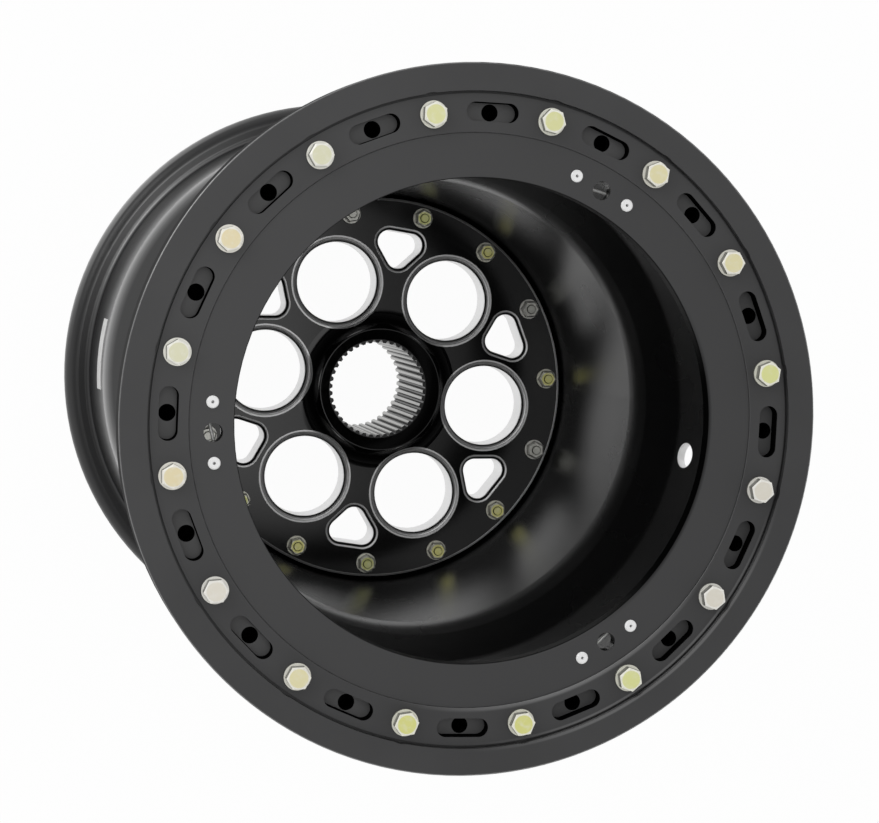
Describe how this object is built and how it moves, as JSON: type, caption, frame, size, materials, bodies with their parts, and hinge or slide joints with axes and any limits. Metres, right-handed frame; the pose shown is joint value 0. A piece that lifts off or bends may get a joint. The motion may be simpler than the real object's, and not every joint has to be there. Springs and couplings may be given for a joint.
{
  "type": "beadlock wheel",
  "caption": "Deep modular racing wheel in satin and gloss black with a bolted beadlock ring, spun rim halves and a windowed centre with a splined hub.",
  "frame": {"origin": "on the wheel's axis, in the plane of the inner flange that it stands on", "axes": "+Z along the axis towards the beadlock face, +X to the right and +Y up in the picture"},
  "size_m": [0.4162, 0.4162, 0.4687],
  "materials": {
    "rim_black": "satin",
    "inner_black": "satin",
    "centre_black": "gloss",
    "ring_black": "satin",
    "bolt_zinc": "satin",
    "nut_zinc": "satin",
    "washer_zinc": "satin",
    "steel": "satin",
    "rivet": "satin",
    "seal": "matte"
  },
  "bodies": {
    "root": {"outer_half": "rim_black", "inner_half": "inner_black", "wheel_centre": "centre_black", "spline_hub": "centre_black", "clamp_ring": "ring_black", "clamp_bolts": "bolt_zinc", "clamp_washers": "washer_zinc", "lock_inserts": "steel", "centre_bolts": "nut_zinc", "centre_nuts": "nut_zinc", "centre_washers": "washer_zinc", "seal_ring": "seal", "cover_rivets": "rivet", "cover_spring_1": "steel", "cover_spring_2": "steel", "cover_spring_3": "steel"}
  },
  "joints": []
}
